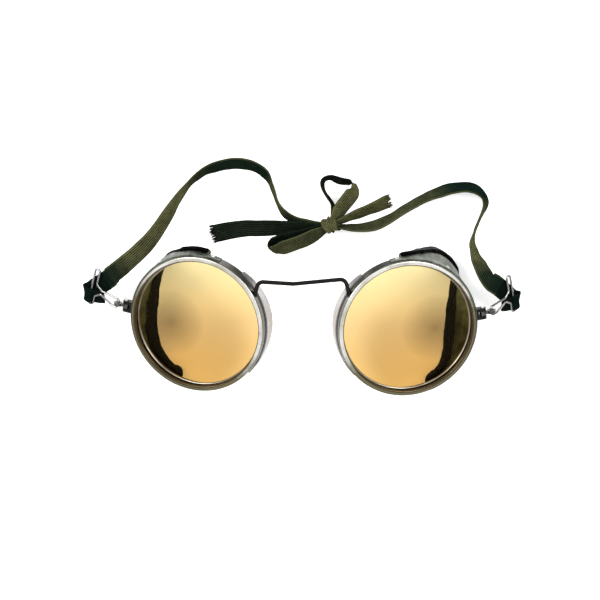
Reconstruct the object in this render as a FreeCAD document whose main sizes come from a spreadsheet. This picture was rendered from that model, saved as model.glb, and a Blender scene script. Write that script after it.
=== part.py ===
import FreeCAD, Part
import math
import os
import Sketcher
from FreeCAD import Placement, Rotation, Vector

# Glacier glasses: two round eyecups on a wire bridge, with sheet side shields bound in leather
# and a cotton tape that ties at the back of the head.
# Frame: the glasses lie on a table, lenses up. +Z is up from the table, +X is the wearer's left
# as seen from in front, and +Y runs from the cheeks past the brow towards the tape. Millimetres.

doc = FreeCAD.newDocument("glacier_glasses")

# ---------------------------------------------------------------- driving dimensions

DIMENSIONS = {
    # how the two eyecups stand
    "cup_spread": 39.9,         # half the distance between the two lens centres
    "cup_middle": 1.2,          # the bridge's middle along X
    "cup_shift": -3.4,         # lens centre along Y
    "cup_height": 21.95,        # lens centre at the front lip, above the table
    "face_wrap": 14.0,          # each cup turns outwards by this, degrees
    "brow_tilt": 18.0,          # brow side higher than cheek side, degrees
    # eyewire
    "aperture_radius": 24.5,
    "seat_radius": 25.0,
    "rim_radius": 26.5,
    "rim_depth": 5.5,
    "lip_depth": 1.1,
    "lens_radius": 24.9,
    "lens_thickness": 1.6,
    "lens_front": 3.4,          # depth of the lens face behind the front lip
    "snap_radius": 24.55,
    "snap_wire": 0.45,
    # sheet metal
    "sheet": 0.5,
    "sleeve_gap": 0.05,
    "sleeve_front": 1.3,        # depth where the shield's sleeve starts on the rim
    "shield_belly": 0.7,
    "nose_reach": 4.3,
    # leather binding
    "binding_depth": 2.0,       # half the binding's size along the sheet
    "binding_thick": 1.1,       # half its size across the sheet
    "binding_grip": 0.7,
    # bridge
    "bridge_wire": 0.78,
    "bridge_corner": 2.4,
    # hinge at each temple
    "hinge_clock": 78.0,        # degrees from the brow, round the temple side
    "hinge_depth": 3.1,
    "pin_reach": 29.7,          # pin axis from the lens axis
    "pin_radius": 0.45,
    "pin_clearance": 0.06,
    "knuckle_radius": 1.3,
    "knuckle_width": 4.4,
    "link_width": 1.6,
    "eye_reach": 33.1,          # eye centre from the lens axis
    "eye_radius": 1.6,
    "eye_hole": 0.8,
    "eye_width": 1.2,
    "screw_head_radius": 0.95,
    "screw_head_height": 0.5,
    # strap loop of bent wire
    "loop_wire": 0.42,
    "loop_apex": 1.7,           # half the straight length that lies in the eye
    "loop_stem": 10.2,          # the near bar, from the eye
    "loop_slot": 1.9,           # bar to bar
    "loop_shift": 3.0,          # the bars' middle is off the stem, towards the brow
    "loop_bar": 7.2,            # half the bars' length
    "loop_yaw_left": 7.5,
    "loop_yaw_right": 4.0,
    "loop_droop_left": 4.0,
    "loop_droop_right": 28.0,
    # cotton tape
    "tape_width": 7.5,
    "tape_tube": 1.3,           # radius of the plain tube that stands for a free run of tape
    "fold_thick": 0.7,          # one layer of tape round the bar
    "fold_drop": 1.5,           # the two layers under the near bar
}

sheet = doc.addObject("Spreadsheet::Sheet", "dimensions")
for row, (alias, value) in enumerate(DIMENSIONS.items(), start=1):
    sheet.set("A%d" % row, alias)
    sheet.set("B%d" % row, str(value))
    sheet.setAlias("B%d" % row, alias)
doc.recompute()


def size(alias):
    """A driving dimension as a plain number."""
    return float(sheet.get(alias))


def bind(obj, **expressions):
    """Ties properties of an object to the sheet's cells."""
    for prop, expression in expressions.items():
        words = expression.split()
        tied = " ".join("dimensions." + w if w in DIMENSIONS else w for w in words)
        obj.setExpression(prop, tied)
    return obj


SIDES = {"left": -1, "right": 1}
nodes = []


def node(obj, label, place=None):
    """Registers a finished sub-part: its label names its file."""
    obj.Label = label
    if place is not None:
        obj.Placement = place
    nodes.append(obj)
    return obj


# ---------------------------------------------------------------- frames


def cup_frame(side):
    """Origin at the lens centre in the front lip's plane, +Z out through the lens, +Y to the brow."""
    turn = Rotation(Vector(0, 1, 0), side * size("face_wrap"))
    lean = Rotation(Vector(1, 0, 0), size("brow_tilt"))
    spot = Vector(size("cup_middle") + side * size("cup_spread"), size("cup_shift"), size("cup_height"))
    return Placement(spot, turn.multiply(lean))


def hinge_frame(side):
    """The cup's frame turned so that +X points out through the temple hinge; Y is the pin's axis."""
    lift = 90 - size("hinge_clock")
    angle = lift if side > 0 else 180 - lift
    drop = Placement(Vector(0, 0, -size("hinge_depth")), Rotation())
    turn = Placement(Vector(), Rotation(Vector(0, 0, 1), angle))
    return cup_frame(side).multiply(drop).multiply(turn)


def loop_frame(side_name):
    """Origin at the eye, +X out from it, Y along the wire loop's bars."""
    side = SIDES[side_name]
    out = Placement(Vector(size("eye_reach"), 0, 0), Rotation())
    yaw = Placement(Vector(), Rotation(Vector(0, 0, 1), side * size("loop_yaw_" + side_name)))
    dip = Placement(Vector(), Rotation(Vector(0, 1, 0), size("loop_droop_" + side_name)))
    return hinge_frame(side).multiply(out).multiply(yaw).multiply(dip)


def clock_point(side, clock, radius, depth):
    """A point of the cup from its clock angle (0 at the brow, 90 at the temple)."""
    turn = math.radians(clock)
    return Vector(side * radius * math.sin(turn), radius * math.cos(turn), -depth)


# ---------------------------------------------------------------- helpers


def cylinder(name, radius, height, spot=(0, 0, 0), axis="Z"):
    """A Part cylinder centred on spot along an axis, tied to the sheet."""
    body = doc.addObject("Part::Cylinder", name)
    bind(body, Radius=radius, Height=height)
    doc.recompute()
    turn = {"Z": Rotation(), "Y": Rotation(Vector(1, 0, 0), -90), "X": Rotation(Vector(0, 1, 0), 90)}[axis]
    back = turn.multVec(Vector(0, 0, -body.Height.Value / 2))
    body.Placement = Placement(Vector(*spot) + back, turn)
    return body


def block(name, length, width, height, spot):
    """A Part box centred on spot, tied to the sheet."""
    body = doc.addObject("Part::Box", name)
    bind(body, Length=length, Width=width, Height=height)
    doc.recompute()
    half = Vector(body.Length.Value, body.Width.Value, body.Height.Value) * 0.5
    body.Placement = Placement(Vector(*spot) - half, Rotation())
    return body


def fuse(name, *shapes):
    joined = doc.addObject("Part::MultiFuse", name)
    joined.Shapes = list(shapes)
    return joined


def cut(name, base, tool):
    made = doc.addObject("Part::Cut", name)
    made.Base = base
    made.Tool = tool
    return made


def rounded_path(points, radius):
    """Straight runs joined by tangent arcs. radius is one number, or None for arcs as large as fit."""
    edges = []
    start = points[0]
    radii = []
    for i in range(1, len(points) - 1):
        before, corner, after = points[i - 1], points[i], points[i + 1]
        inward = (before - corner).normalize()
        outward = (after - corner).normalize()
        turn = math.pi - inward.getAngle(outward)
        shorter = min((before - corner).Length, (after - corner).Length)
        arc = radius if radius else 0.45 * shorter / math.tan(turn / 2)
        reach = arc * math.tan(turn / 2)
        first = corner + inward * reach
        last = corner + outward * reach
        middle = corner + (inward + outward).normalize() * (arc / math.cos(turn / 2) - arc)
        edges.append(Part.LineSegment(start, first).toShape())
        edges.append(Part.Arc(first, middle, last).toShape())
        radii.append(arc)
        start = last
    edges.append(Part.LineSegment(start, points[-1]).toShape())
    return Part.Wire(edges), radii


def tube(points, section, radius=None):
    """A round bar or tube of the given section radius along a rounded path."""
    path, radii = rounded_path(points, radius)
    along = (points[1] - points[0]).normalize()
    ring = Part.Wire([Part.makeCircle(section, points[0], along)])
    solid = path.makePipeShell([ring], True, False)
    expected = math.pi * section ** 2 * path.Length
    if abs(solid.Volume - expected) > 0.02 * expected:
        raise ValueError("a tube's volume is %.2f and should be %.2f" % (solid.Volume, expected))
    return solid, path.Length, radii


def feature(name, shape):
    made = doc.addObject("Part::Feature", name)
    made.Shape = shape
    return made


def loft(wires):
    solid = Part.makeLoft(wires, True, False)
    if solid.Volume < 0:
        solid.reverse()
    return solid


# ---------------------------------------------------------------- eyewire and lens


def profile_sketch(body, name, points):
    """A closed profile on the body's XZ plane: x is the radius and y the height."""
    plane = [f for f in body.Origin.OriginFeatures if f.Role == "XZ_Plane"][0]
    sketch = body.newObject("Sketcher::SketchObject", name)
    sketch.AttachmentSupport = [(plane, "")]
    sketch.MapMode = "FlatFace"
    last = len(points) - 1
    for i, spot in enumerate(points):
        after = points[0] if i == last else points[i + 1]
        ends = Vector(spot[0], spot[1], 0), Vector(after[0], after[1], 0)
        sketch.addGeometry(Part.LineSegment(*ends), False)
    for i in range(len(points)):
        after = 0 if i == last else i + 1
        sketch.addConstraint(Sketcher.Constraint("Coincident", i, 2, after, 1))
    return sketch


def hold(sketch, line, start, across, up):
    """Ties one corner of a profile to cells: its distance from the axis and its depth."""
    at = sketch.addConstraint(Sketcher.Constraint("DistanceX", -1, 1, line, start, 1.0 * across[1]))
    sketch.setExpression("Constraints[%d]" % at, across[0])
    if up[1]:
        at = sketch.addConstraint(Sketcher.Constraint("DistanceY", line, start, -1, 1, up[1]))
        sketch.setExpression("Constraints[%d]" % at, up[0])
    else:
        sketch.addConstraint(Sketcher.Constraint("PointOnObject", line, start, -1))


def rim(side_name, side):
    """The eyewire: a band with a rolled lip in front, open at the back where the lens goes in."""
    body = doc.addObject("PartDesign::Body", "rim_body_" + side_name)
    inner, seat, outer = size("aperture_radius"), size("seat_radius"), size("rim_radius")
    deep, lip = size("rim_depth"), size("lip_depth")
    corners = [(inner, 0), (outer, 0), (outer, -deep), (seat, -deep), (seat, -lip), (inner, -lip)]
    sketch = profile_sketch(body, "rim_profile_" + side_name, corners)
    cells = [
        ("dimensions.aperture_radius", inner, "0", 0),
        ("dimensions.rim_radius", outer, "0", 0),
        ("dimensions.rim_radius", outer, "dimensions.rim_depth", deep),
        ("dimensions.seat_radius", seat, "dimensions.rim_depth", deep),
        ("dimensions.seat_radius", seat, "dimensions.lip_depth", lip),
        ("dimensions.aperture_radius", inner, "dimensions.lip_depth", lip),
    ]
    for line, (across, x, up, y) in enumerate(cells):
        hold(sketch, line, 1, (across, x), (up, y))
    spin = body.newObject("PartDesign::Revolution", "rim_spin_" + side_name)
    spin.Profile = sketch
    spin.ReferenceAxis = (sketch, ["V_Axis"])
    spin.Angle = 360
    doc.recompute()
    lip_edges = []
    for i, edge in enumerate(spin.Shape.Edges, start=1):
        flat = abs(edge.BoundBox.ZMax) < 1e-6 and abs(edge.BoundBox.ZMin) < 1e-6
        if flat and edge.isClosed():
            lip_edges.append("Edge%d" % i)
    roll = body.newObject("PartDesign::Fillet", "rim_lip_" + side_name)
    roll.Base = (spin, lip_edges)
    roll.Radius = 0.5
    body.Tip = roll
    return node(body, "rim_" + side_name, cup_frame(side))


def lens(side_name, side):
    """A flat round lens with ground edges."""
    disc = cylinder("lens_disc_" + side_name, "lens_radius", "lens_thickness")
    doc.recompute()
    bevel = doc.addObject("Part::Chamfer", "lens_bevel_" + side_name)
    bevel.Base = disc
    bevel.Edges = [(i, 0.3, 0.3) for i, e in enumerate(disc.Shape.Edges, start=1) if e.isClosed()]
    middle = -size("lens_front") - size("lens_thickness") / 2
    return node(bevel, "lens_" + side_name, cup_frame(side).multiply(Placement(Vector(0, 0, middle), Rotation())))


def snap_ring(side_name, side):
    """The sprung wire ring that holds the lens in from the front."""
    ring = doc.addObject("Part::Torus", "snap_torus_" + side_name)
    bind(ring, Radius1="snap_radius", Radius2="snap_wire")
    middle = -size("lens_front") + size("snap_wire")
    return node(ring, "snap_ring_" + side_name, cup_frame(side).multiply(Placement(Vector(0, 0, middle), Rotation())))


# ---------------------------------------------------------------- side and nose shields

# The free edge of each shield, hand-set: clock angle, distance from the lens axis, depth.
# Between about 40 and 150 degrees it lies in the plane of the table, as it lies on a face.
SHIELD_EDGE = {
    "left": [
        (-11, 26.2, 9.3), (1, 25.4, 12.3), (14, 25.0, 16.0), (28, 26.2, 20.4), (41, 27.2, 23.6),
        (54, 26.2, 22.2), (66, 24.8, 20.2), (82, 23.5, 17.8), (101, 23.9, 15.1), (122, 25.6, 12.9),
        (137, 26.2, 12.0), (146, 26.25, 11.0), (155, 26.4, 8.9),
    ],
    "right": [
        (-9, 26.3, 9.0), (2, 25.9, 12.6), (14, 26.8, 17.0), (27, 28.3, 22.2), (40, 28.6, 24.6),
        (52, 27.2, 22.6), (64, 23.8, 20.9), (80, 20.9, 18.8), (96, 20.2, 16.9), (110, 20.9, 15.3),
        (124, 23.2, 13.5), (137, 25.4, 12.1), (146, 26.0, 11.0), (155, 26.4, 8.9),
    ],
}
SHIELD_TURN_DEPTH = 6.0


def sheet_profile(side, clock, edge_radius, edge_depth, front):
    """One radial slice of a formed sheet: sleeve on the rim, then the wall to its free edge."""
    thick = size("sheet")
    inner = size("rim_radius") + size("sleeve_gap")
    belly = size("shield_belly")
    wall = Vector(edge_radius - inner, edge_depth - SHIELD_TURN_DEPTH, 0).normalize()
    normal = Vector(wall.y, -wall.x, 0) * (thick / 2)
    middle = Vector((inner + edge_radius) / 2 + belly, (SHIELD_TURN_DEPTH + edge_depth) / 2, 0)
    edge = Vector(edge_radius, edge_depth, 0)
    outline = [
        Vector(inner, front, 0), Vector(inner + thick, front, 0),
        Vector(inner + thick, SHIELD_TURN_DEPTH, 0), middle + normal, edge + normal,
        edge - normal, middle - normal, Vector(inner, SHIELD_TURN_DEPTH, 0),
    ]
    corners = [clock_point(side, clock, p.x, p.y) for p in outline]
    return Part.makePolygon(corners + corners[:1])


# The clock angles of the bare tab at the shield's brow end, where the sleeve runs on alone.
TAB_CLOCKS = {"left": (-24, -18, -12, -7), "right": (-19, -14, -9, -5)}


def tab_slice(side, clock):
    """A radial slice of the tab, a little inside the sleeve that it joins."""
    inner = size("rim_radius") + size("sleeve_gap") + 0.04
    outer = size("rim_radius") + size("sheet") + 0.01
    front, back = size("sleeve_front") + 0.3, SHIELD_TURN_DEPTH - 1.0
    outline = [(inner, front), (outer, front), (outer, back), (inner, back)]
    corners = [clock_point(side, clock, r, d) for r, d in outline]
    return Part.makePolygon(corners + corners[:1])


def side_shield(side_name, side):
    slices = [sheet_profile(side, *edge, size("sleeve_front")) for edge in SHIELD_EDGE[side_name]]
    tab = loft([tab_slice(side, clock) for clock in TAB_CLOCKS[side_name]])
    whole = loft(slices).fuse(tab)
    if len(whole.Solids) != 1:
        raise ValueError("the tab of shield %s doesn't join its sleeve" % side_name)
    made = feature("shield_" + side_name, whole.Solids[0])
    return node(made, "side_shield_" + side_name, cup_frame(side))


OVAL_SIDES = 10


def binding_slice(side, clock, edge_radius, edge_depth):
    """An oval of short flats across the leather, standing along the sheet's wall."""
    inner = size("rim_radius")
    wall = Vector(edge_radius - inner, edge_depth - SHIELD_TURN_DEPTH, 0).normalize()
    across = Vector(wall.y, -wall.x, 0)
    middle = Vector(edge_radius, edge_depth, 0) - wall * size("binding_grip")
    corners = []
    for i in range(OVAL_SIDES):
        turn = 2 * math.pi * (i + 0.5) / OVAL_SIDES
        lengthwise = wall * (size("binding_depth") * math.cos(turn))
        sideways = across * (size("binding_thick") * math.sin(turn))
        spot = middle + lengthwise + sideways
        corners.append(clock_point(side, clock, spot.x, spot.y))
    return Part.makePolygon(corners + corners[:1])


def binding(side_name, side):
    """The leather folded over the shield's edge. Where it lies on the table it is pressed flat."""
    ovals = [binding_slice(side, *edge) for edge in SHIELD_EDGE[side_name]]
    leather = loft(ovals)
    table = Part.makeBox(400, 400, 20, Vector(-200, -200, -20))
    table.Placement = cup_frame(side).inverse()
    pressed = leather.cut(table)
    made = feature("binding_" + side_name, pressed.Solids[0])
    return node(made, "shield_binding_" + side_name, cup_frame(side))


NOSE_FROM, NOSE_TO = -138, -44


def nose_slice(side, clock):
    """A radial slice of the crescent on the nose side; its reach is a half wave."""
    share = (clock - NOSE_FROM) / (NOSE_TO - NOSE_FROM)
    reach = 0.5 + size("nose_reach") * math.sin(math.pi * share)
    inner = size("rim_radius") + size("sleeve_gap")
    front = size("rim_depth") - 1.6
    back = size("rim_depth") + reach
    outline = [(inner, front), (inner + size("sheet"), front), (inner + size("sheet"), back), (inner, back)]
    corners = [clock_point(side, clock, r, d) for r, d in outline]
    return Part.makePolygon(corners + corners[:1])


def nose_shield(side_name, side):
    steps = 10
    clocks = [NOSE_FROM + (NOSE_TO - NOSE_FROM) * i / steps for i in range(steps + 1)]
    made = feature("nose_" + side_name, loft([nose_slice(side, c) for c in clocks]))
    return node(made, "nose_shield_" + side_name, cup_frame(side))


RIVET_CLOCKS = {"left": (-17, 30, 70, 110, 150), "right": (-13, 30, 70, 110, 150)}


def rivets(side_name, side):
    """Small round-headed rivets through the shield's sleeve, one group of separate solids."""
    heads = []
    surface = size("rim_radius") + size("sleeve_gap") + size("sheet")
    for clock in RIVET_CLOCKS[side_name]:
        out = clock_point(side, clock, 1, 0)
        spot = clock_point(side, clock, surface, 3.6)
        head = Part.makeSphere(0.95, spot - out * 0.4)
        heads.append(head.common(Part.makeCylinder(1.0, 2.0, spot, out)))
    made = feature("rivet_heads_" + side_name, Part.makeCompound(heads))
    return node(made, "shield_rivets_" + side_name, cup_frame(side))


# ---------------------------------------------------------------- bridge

BRIDGE_POINTS = [
    (-16.1, 7.6, 29.2), (-15, 13.1, 29.8), (-1.8, 12.5, 30), (17.4, 14.7, 29.8), (19, 8.2, 29.2),
]


def bridge():
    """A bent wire soldered to the nose side of both rims."""
    points = [Vector(*p) for p in BRIDGE_POINTS]
    path = rounded_bridge(points)
    along = (points[1] - points[0]).normalize()
    ring = Part.Wire([Part.makeCircle(size("bridge_wire"), points[0], along)])
    return node(feature("bridge", path.makePipeShell([ring], True, False)), "bridge_wire")


def rounded_bridge(points):
    path, _ = rounded_path(points, size("bridge_corner"))
    return path


# ---------------------------------------------------------------- temple hinge


def endpiece(side_name, side):
    """A block on the rim with two knuckles that hold the hinge screw."""
    tag = "_" + side_name
    foot_from = size("rim_radius") + size("sleeve_gap") + size("sheet")
    pin = size("pin_reach")
    foot_length = pin - foot_from + 0.6
    foot = doc.addObject("Part::Box", "foot" + tag)
    foot.Length = foot_length
    bind(foot, Width="knuckle_width", Height="2 * knuckle_radius")
    foot.Placement = Placement(Vector(foot_from - 0.6, -size("knuckle_width") / 2, -size("knuckle_radius")), Rotation())
    barrel = cylinder("barrel" + tag, "knuckle_radius", "knuckle_width", (pin, 0, 0), "Y")
    solid = fuse("endpiece_solid" + tag, foot, barrel)
    gap = doc.addObject("Part::Box", "gap" + tag)
    gap.Length = 6.0
    bind(gap, Width="link_width + 0.2", Height="4 * knuckle_radius")
    gap.Placement = Placement(Vector(pin - 1.75, -size("link_width") / 2 - 0.1, -2 * size("knuckle_radius")), Rotation())
    bore = cylinder("bore" + tag, "pin_radius", "2 * knuckle_width", (pin, 0, 0), "Y")
    rim_clear = doc.addObject("Part::Cylinder", "rim_clear" + tag)
    rim_clear.Radius = foot_from + 0.01
    rim_clear.Height = 20
    rim_clear.Placement = Placement(Vector(0, 0, -10), Rotation())
    tools = fuse("endpiece_tools" + tag, gap, bore, rim_clear)
    return node(cut("endpiece_cut" + tag, solid, tools), "endpiece_" + side_name, hinge_frame(side))


def hinge_screw(side_name, side):
    """The slotted screw that is the hinge's pin."""
    tag = "_" + side_name
    pin = size("pin_reach")
    half = size("knuckle_width") / 2
    shank = cylinder("shank" + tag, "pin_radius", "knuckle_width", (pin, 0, 0), "Y")
    head_at = side * (half + size("screw_head_height") / 2)
    head = cylinder("head" + tag, "screw_head_radius", "screw_head_height", (pin, head_at, 0), "Y")
    slot = doc.addObject("Part::Box", "slot" + tag)
    slot.Length, slot.Width, slot.Height = 4.0, 0.25, 0.3
    top = side * (half + size("screw_head_height"))
    slot.Placement = Placement(Vector(pin - 2.0, min(top, top - side * 0.25), -0.15), Rotation())
    solid = fuse("screw_solid" + tag, shank, head)
    return node(cut("screw_cut" + tag, solid, slot), "hinge_screw_" + side_name, hinge_frame(side))


def eye_link(side_name, side):
    """The leaf that turns on the screw; its outer end is an eye for the wire loop."""
    tag = "_" + side_name
    pin, eye = size("pin_reach"), size("eye_reach")
    knuckle = cylinder("leaf_knuckle" + tag, "knuckle_radius", "link_width", (pin, 0, 0), "Y")
    ring = cylinder("leaf_eye" + tag, "eye_radius", "eye_width", (eye, 0, 0), "Y")
    arm = doc.addObject("Part::Box", "leaf_arm" + tag)
    arm.Length = eye - pin
    bind(arm, Width="eye_width", Height="knuckle_radius")
    arm.Placement = Placement(Vector(pin, -size("eye_width") / 2, -size("knuckle_radius") / 2), Rotation())
    solid = fuse("leaf_solid" + tag, knuckle, ring, arm)
    bore = cylinder("leaf_bore" + tag, "pin_radius + pin_clearance", "2 * link_width", (pin, 0, 0), "Y")
    hole = cylinder("leaf_hole" + tag, "eye_hole", "2 * link_width", (eye, 0, 0), "Y")
    tools = fuse("leaf_tools" + tag, bore, hole)
    return node(cut("leaf_cut" + tag, solid, tools), "eye_link_" + side_name, hinge_frame(side))


# ---------------------------------------------------------------- strap loop


def loop_points(upper):
    """Half of the bent wire in its own plane, from the middle of the apex to the far bar."""
    near, far = size("loop_stem"), size("loop_stem") + size("loop_slot")
    apex, middle, half = size("loop_apex"), size("loop_shift"), size("loop_bar")
    if upper:
        return [(0, 0), (0, apex), (7.8, 2.4), (near, 4.2), (near, middle + half), (far, middle + half), (far, middle)]
    neck = [(0, 0), (0, -apex), (2.7, -1.4), (7.8, 0.9), (near, -0.6)]
    return neck + [(near, middle - half), (far, middle - half), (far, middle)]


def wire_loop(side_name, side):
    """A closed wire ring: a neck of two strands from the eye, then a slot for the tape."""
    halves = []
    for upper in (True, False):
        points = [Vector(x, side * y, 0) for x, y in loop_points(upper)]
        path, _ = rounded_path(points, 0.85)
        ring = Part.Wire([Part.makeCircle(size("loop_wire"), Vector(), points[1] - points[0])])
        halves.append(path.makePipeShell([ring], True, False))
    solid = halves[0].fuse(halves[1]).removeSplitter()
    made = feature("loop_" + side_name, solid.Solids[0])
    return node(made, "wire_loop_" + side_name, loop_frame(side_name))


# The folded end of the tape seen square on, hand-set in the loop's plane: it comes in from the
# brow side under the near bar, turns round the far bar and comes back towards the cheek side.
FOLD_OUTLINE = [
    (15.7, 2.2), (12.9, 5.6), (10.2, 9.3), (7.0, 11.4), (4.4, 4.8), (7.0, 0.9), (11.2, -3.4), (13.4, -3.0),
]
FOLD_NOSE = [(15.7, 2.2), (12.9, 5.6), (11.1, 6.4), (11.1, -3.4), (13.4, -3.0)]


def slab(outline, side, low, high):
    corners = [Vector(x, side * y, low) for x, y in outline]
    face = Part.Face(Part.makePolygon(corners + corners[:1]))
    return face.extrude(Vector(0, 0, high - low))


def tape_fold(side_name, side):
    """The sewn end of the tape, folded round the loop's far bar."""
    wire, far = size("loop_wire"), size("loop_stem") + size("loop_slot")
    low = -wire - 0.13
    layers = slab(FOLD_OUTLINE, side, low - size("fold_drop"), low)
    nose = slab(FOLD_NOSE, side, low - 0.05, wire + size("fold_thick"))
    hole = Part.makeCylinder(wire + 0.03, 60, Vector(far, -30, 0), Vector(0, 1, 0))
    solid = layers.fuse(nose).cut(hole)
    made = feature("fold_" + side_name, solid.Solids[0])
    return node(made, "tape_fold_" + side_name, loop_frame(side_name))


# ---------------------------------------------------------------- tape

# Routes of the free tape, hand-set, from the strap loop to the knot.
TAPE_ROUTES = {
    "tape_run_left": [
        (-70.8, 16, 16.6), (-65.8, 20.6, 13.2), (-58.4, 28.8, 8.6), (-52.8, 38.4, 5.6),
        (-47.2, 48.4, 4.4), (-40.2, 55.8, 3.6), (-31.4, 59.2, 3.2), (-22.4, 59.6, 3.2),
        (-15.4, 56.4, 3.6), (-12.2, 50.2, 4.2), (-10.4, 44, 4.2), (-6.2, 38.6, 4),
        (0.6, 36.2, 3.8), (6.6, 35.8, 3.4),
    ],
    "tape_run_right": [
        (69.8, 17.8, 13), (66.6, 24.4, 9.2), (64.8, 31.6, 6), (67.6, 39.4, 4.6),
        (71, 46.6, 3.8), (66, 51.8, 3.2), (57.8, 51.8, 2.6), (48.4, 48.4, 2.4),
        (40.4, 44, 2.4), (31.4, 37.8, 2.6), (22.6, 35, 3), (14.8, 35.4, 3.6),
    ],
    "tape_tail_left": [(5.8, 33.6, 1.5), (-4.4, 35.1, 1.5), (-15.8, 35.8, 1.5), (-34.4, 32.2, 1.5)],
    "tape_tail_right": [(14.9, 37.9, 3.9), (21.2, 39.6, 5.2), (27, 43.2, 5.8), (32.6, 45.6, 5.6)],
    "bow_loop_right": [
        (11, 40, 5.2), (14.9, 44.1, 5), (19.6, 49.8, 5.6), (14.8, 53, 6),
        (9, 55.6, 5.6), (5.4, 52, 4.8), (7.6, 48, 4), (10.8, 44.8, 3.2),
    ],
}


def tape_piece(label):
    points = [Vector(*p) for p in TAPE_ROUTES[label]]
    solid, length, radii = tube(points, size("tape_tube"))
    print(label, "length %.1f" % length, "radii", [round(r, 1) for r in radii])
    return node(feature(label + "_tube", solid), label)


def rounded_box(name, length, width, height, spot, angle, radius):
    body = doc.addObject("Part::Box", name)
    body.Length, body.Width, body.Height = length, width, height
    doc.recompute()
    soft = doc.addObject("Part::Fillet", name + "_soft")
    soft.Base = body
    soft.Edges = [(i, radius, radius) for i in range(1, 13)]
    turn = Rotation(Vector(0, 0, 1), angle)
    middle = turn.multVec(Vector(length, width, height) * 0.5)
    soft.Placement = Placement(Vector(*spot) - middle, turn)
    return soft


def bow():
    """The knot, and the loop that lies closed and flat beside it."""
    knot = rounded_box("knot", 7.0, 5.6, 5.6, (10.6, 36.1, 3.2), 20, 2.0)
    node(knot, "bow_knot")
    lobe = rounded_box("lobe", 17.6, 8.0, 5.6, (-1, 29.6, 2.9), 22, 2.2)
    node(lobe, "bow_loop_left")


# ---------------------------------------------------------------- build

for side_name, side in SIDES.items():
    rim(side_name, side)
    lens(side_name, side)
    snap_ring(side_name, side)
    side_shield(side_name, side)
    binding(side_name, side)
    nose_shield(side_name, side)
    rivets(side_name, side)
    endpiece(side_name, side)
    hinge_screw(side_name, side)
    eye_link(side_name, side)
    wire_loop(side_name, side)
    tape_fold(side_name, side)
bridge()
bow()
for label in TAPE_ROUTES:
    tape_piece(label)

doc.recompute()
for obj in doc.Objects:
    if any(word in obj.State for word in ("Invalid", "Error")):
        raise ValueError("%s failed: %s" % (obj.Name, obj.State))
for obj in nodes:
    if obj.Shape.isNull() or not obj.Shape.isValid():
        raise ValueError(obj.Label + " has no valid shape")

os.makedirs("parts", exist_ok=True)
for obj in nodes:
    obj.Shape.exportStep("parts/%s.step" % obj.Label)
whole = Part.makeCompound([obj.Shape for obj in nodes]).BoundBox
print("nodes", len(nodes), "box", whole)
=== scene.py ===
import math
import random

import bpy
from mathutils import Matrix, Vector, noise


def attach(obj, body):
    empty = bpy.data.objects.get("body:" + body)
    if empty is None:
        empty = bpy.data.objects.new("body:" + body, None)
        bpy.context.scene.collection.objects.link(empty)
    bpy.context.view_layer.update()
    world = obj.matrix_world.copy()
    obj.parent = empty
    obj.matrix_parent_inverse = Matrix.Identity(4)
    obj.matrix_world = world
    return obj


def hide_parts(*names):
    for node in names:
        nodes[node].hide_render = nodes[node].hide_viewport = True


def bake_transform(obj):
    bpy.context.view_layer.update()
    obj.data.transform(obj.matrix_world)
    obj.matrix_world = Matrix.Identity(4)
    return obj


# Looks for the glacier glasses: nickel eyecups, amber lenses, leather-bound shields and the
# olive cotton tape. Lengths are written in millimetres and turned into metres by MM. A cup's
# own frame has its origin at the lens centre, X to the wearer's side and Y to the brow.

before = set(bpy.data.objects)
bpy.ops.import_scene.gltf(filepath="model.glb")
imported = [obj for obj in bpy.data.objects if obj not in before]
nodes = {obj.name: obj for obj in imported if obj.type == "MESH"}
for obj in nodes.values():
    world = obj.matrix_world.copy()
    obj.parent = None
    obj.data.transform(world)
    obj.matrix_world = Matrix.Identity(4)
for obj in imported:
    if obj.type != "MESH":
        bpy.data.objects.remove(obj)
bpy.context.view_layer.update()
MM = 0.001
SIDES = {"left": -1, "right": 1}

# ------------------------------------------------------------------ where things are

CUP_MIDDLE, CUP_SPREAD, CUP_SHIFT, CUP_HEIGHT = 1.2, 39.9, -3.4, 21.95
FACE_WRAP, BROW_TILT = 14.0, 18.0
RIM_RADIUS, LIP_RADIUS, GROOVE_RADIUS = 26.5, 24.95, 25.15
SLEEVE_DEPTH = 6.0  # depth where a shield leaves its sleeve on the rim
HINGE_LIFT, HINGE_DEPTH = 12.0, 3.1
EYE_REACH = 33.1
LOOP_YAW = {"left": 7.5, "right": 4.0}
LOOP_DROOP = {"left": 4.0, "right": 28.0}


def turn(axis, degrees):
    return Matrix.Rotation(math.radians(degrees), 4, axis)


def cup_matrix(side):
    """Origin at the lens centre in the front lip's plane, +Z out through the lens, +Y to the brow."""
    spot = Matrix.Translation((CUP_MIDDLE + side * CUP_SPREAD, CUP_SHIFT, CUP_HEIGHT))
    return spot @ turn("Y", side * FACE_WRAP) @ turn("X", BROW_TILT)


def hinge_matrix(side):
    lift = HINGE_LIFT if side > 0 else 180 - HINGE_LIFT
    return cup_matrix(side) @ Matrix.Translation((0, 0, -HINGE_DEPTH)) @ turn("Z", lift)


def loop_matrix(name):
    """Origin at the eye of the wire loop, +X out from it, Y along its bars."""
    side = SIDES[name]
    out = Matrix.Translation((EYE_REACH, 0, 0))
    return hinge_matrix(side) @ out @ turn("Z", side * LOOP_YAW[name]) @ turn("Y", LOOP_DROOP[name])


def clock_point(side, clock, radius, depth):
    """A point of the cup from its clock angle (0 at the brow, 90 at the temple)."""
    a = math.radians(clock)
    return Vector((side * radius * math.sin(a), radius * math.cos(a), -depth))


# ------------------------------------------------------------------ camera, floor and light

# Where the camera hangs, which way it looks, its roll in degrees and its lens's shift.
CAMERA_SPOT, CAMERA_AIM = (34.2, -3.4, 620.95), (-38, 8, -640)
CAMERA_ROLL, LENS_SHIFT = 1.2, (0.0076667, 0.0116667)


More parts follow.
